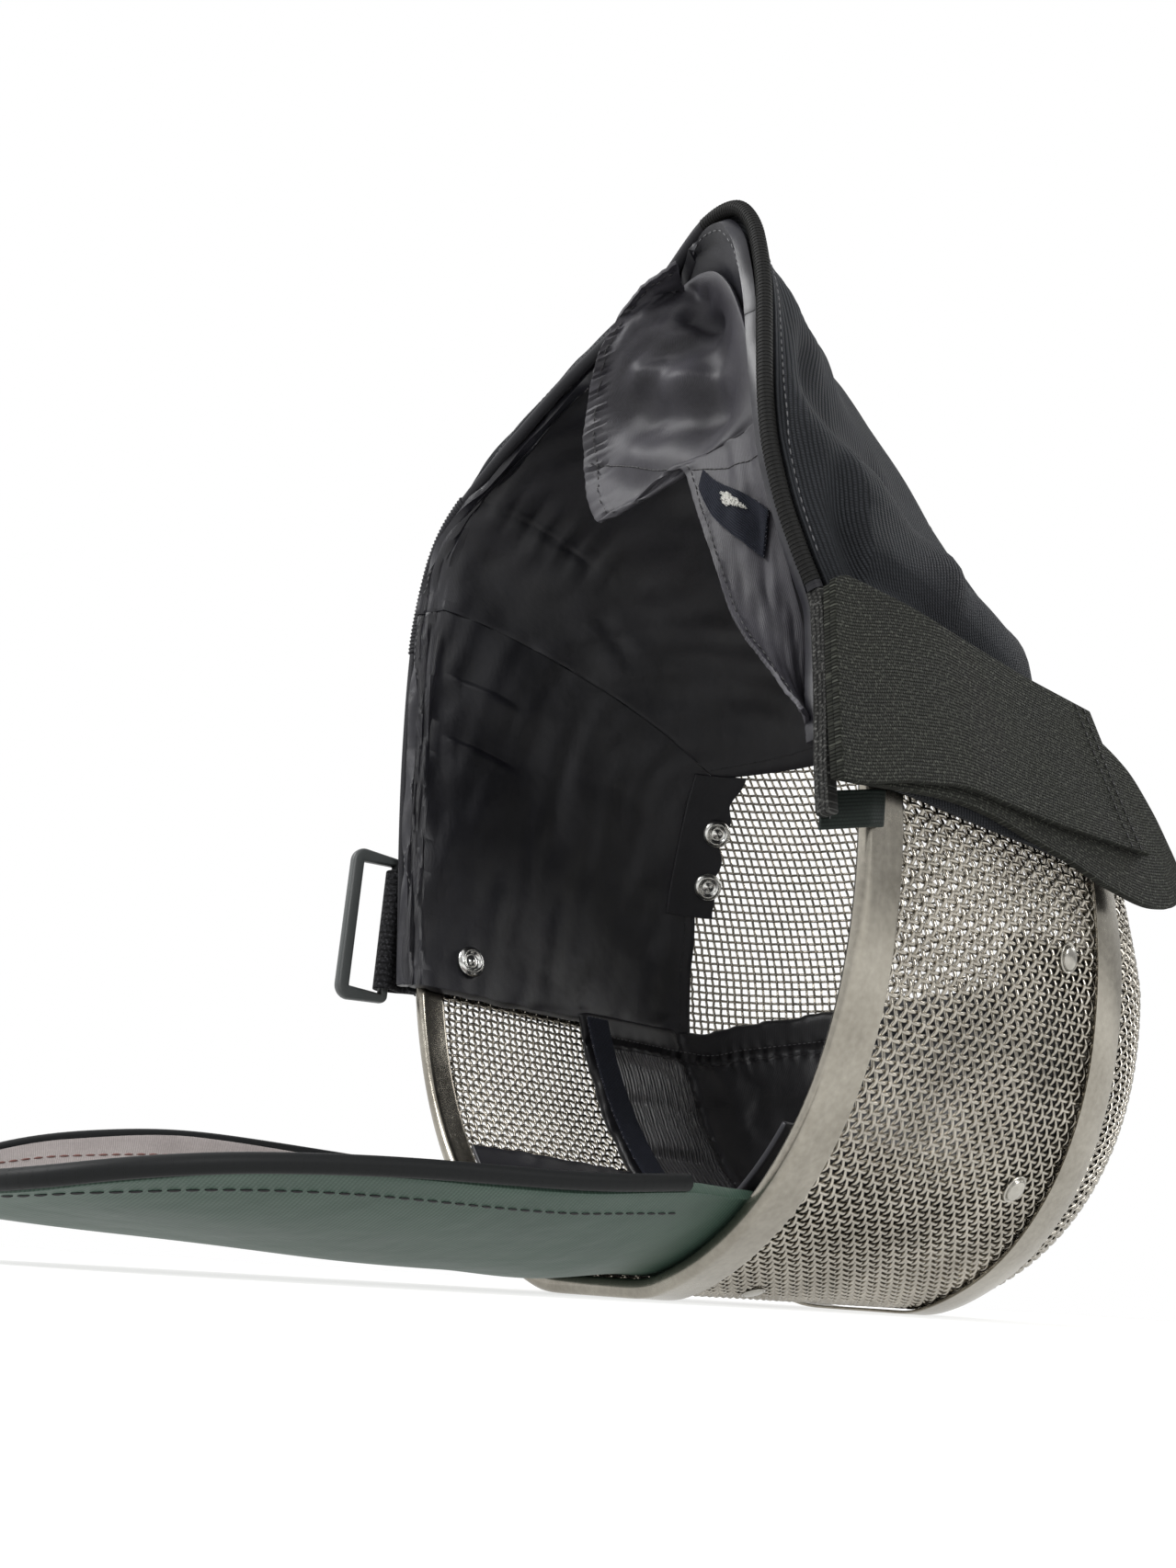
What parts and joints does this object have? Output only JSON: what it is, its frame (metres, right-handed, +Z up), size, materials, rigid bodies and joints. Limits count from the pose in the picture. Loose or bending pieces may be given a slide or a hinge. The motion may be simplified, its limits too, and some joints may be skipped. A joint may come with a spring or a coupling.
{
  "type": "fencing mask",
  "caption": "Fencing mask with wire mesh, steel bands, black cloth hood and linings, elastic strap, side buckle and a bib folded back.",
  "frame": {"origin": "middle of the rim band's flat under the chin, on the surface it stands on", "axes": "+X the wearer's right, +Y the wearer's front, +Z up"},
  "size_m": [0.2268, 0.3455, 0.2948],
  "materials": {
    "steel_wire": "woven crimped wire, dull bright",
    "steel_band": "folded sheet, worn satin",
    "snap_metal": "bright, worn",
    "cover_cloth": "ribbed elastic cloth, charcoal",
    "satin": "padded satin lining, black",
    "loop_tape": "fuzzy loop tape, black",
    "elastic": "heathered woven elastic, dark olive grey",
    "bib_skin": "coated cloth, grey green",
    "dark_plastic": "moulded, dark grey"
  },
  "bodies": {
    "mask": {"front_mesh": "steel_wire", "side_mesh": "steel_wire", "rim_band": "steel_band", "seam_band": "steel_band", "seam_band_inner": "steel_band", "crown_cover": "cover_cloth", "edge_tape": "cover_cloth", "cover_piping": "satin", "left_lining": "satin", "crown_lining": "satin", "right_lining": "satin", "back_flap": "satin", "loop_patch": "loop_tape", "chin_pad": "satin", "hook_strip": "loop_tape", "chin_trim": "satin", "bib": "bib_skin", "bib_binding": "satin", "strap_lower": "elastic", "strap_upper": "elastic", "keeper_tab": "bib_skin", "buckle_sleeve": "elastic", "snap_patch": "satin", "snap_upper": "snap_metal", "snap_lower": "snap_metal", "snap_cheek": "snap_metal", "rivet_right_1": "steel_band", "rivet_right_2": "steel_band", "rivet_right_3": "steel_band", "rivet_left_1": "steel_band", "rivet_left_2": "steel_band", "rivet_left_3": "steel_band"},
    "buckle": {"buckle_frame": "dark_plastic"}
  },
  "joints": [
    {"name": "buckle_swing", "type": "hinge", "parent": "mask", "child": "buckle", "pos_m": [-0.1106, -0.0165, 0.114], "axis": [0, 0, 1], "range_deg": [-95, 30]}
  ]
}
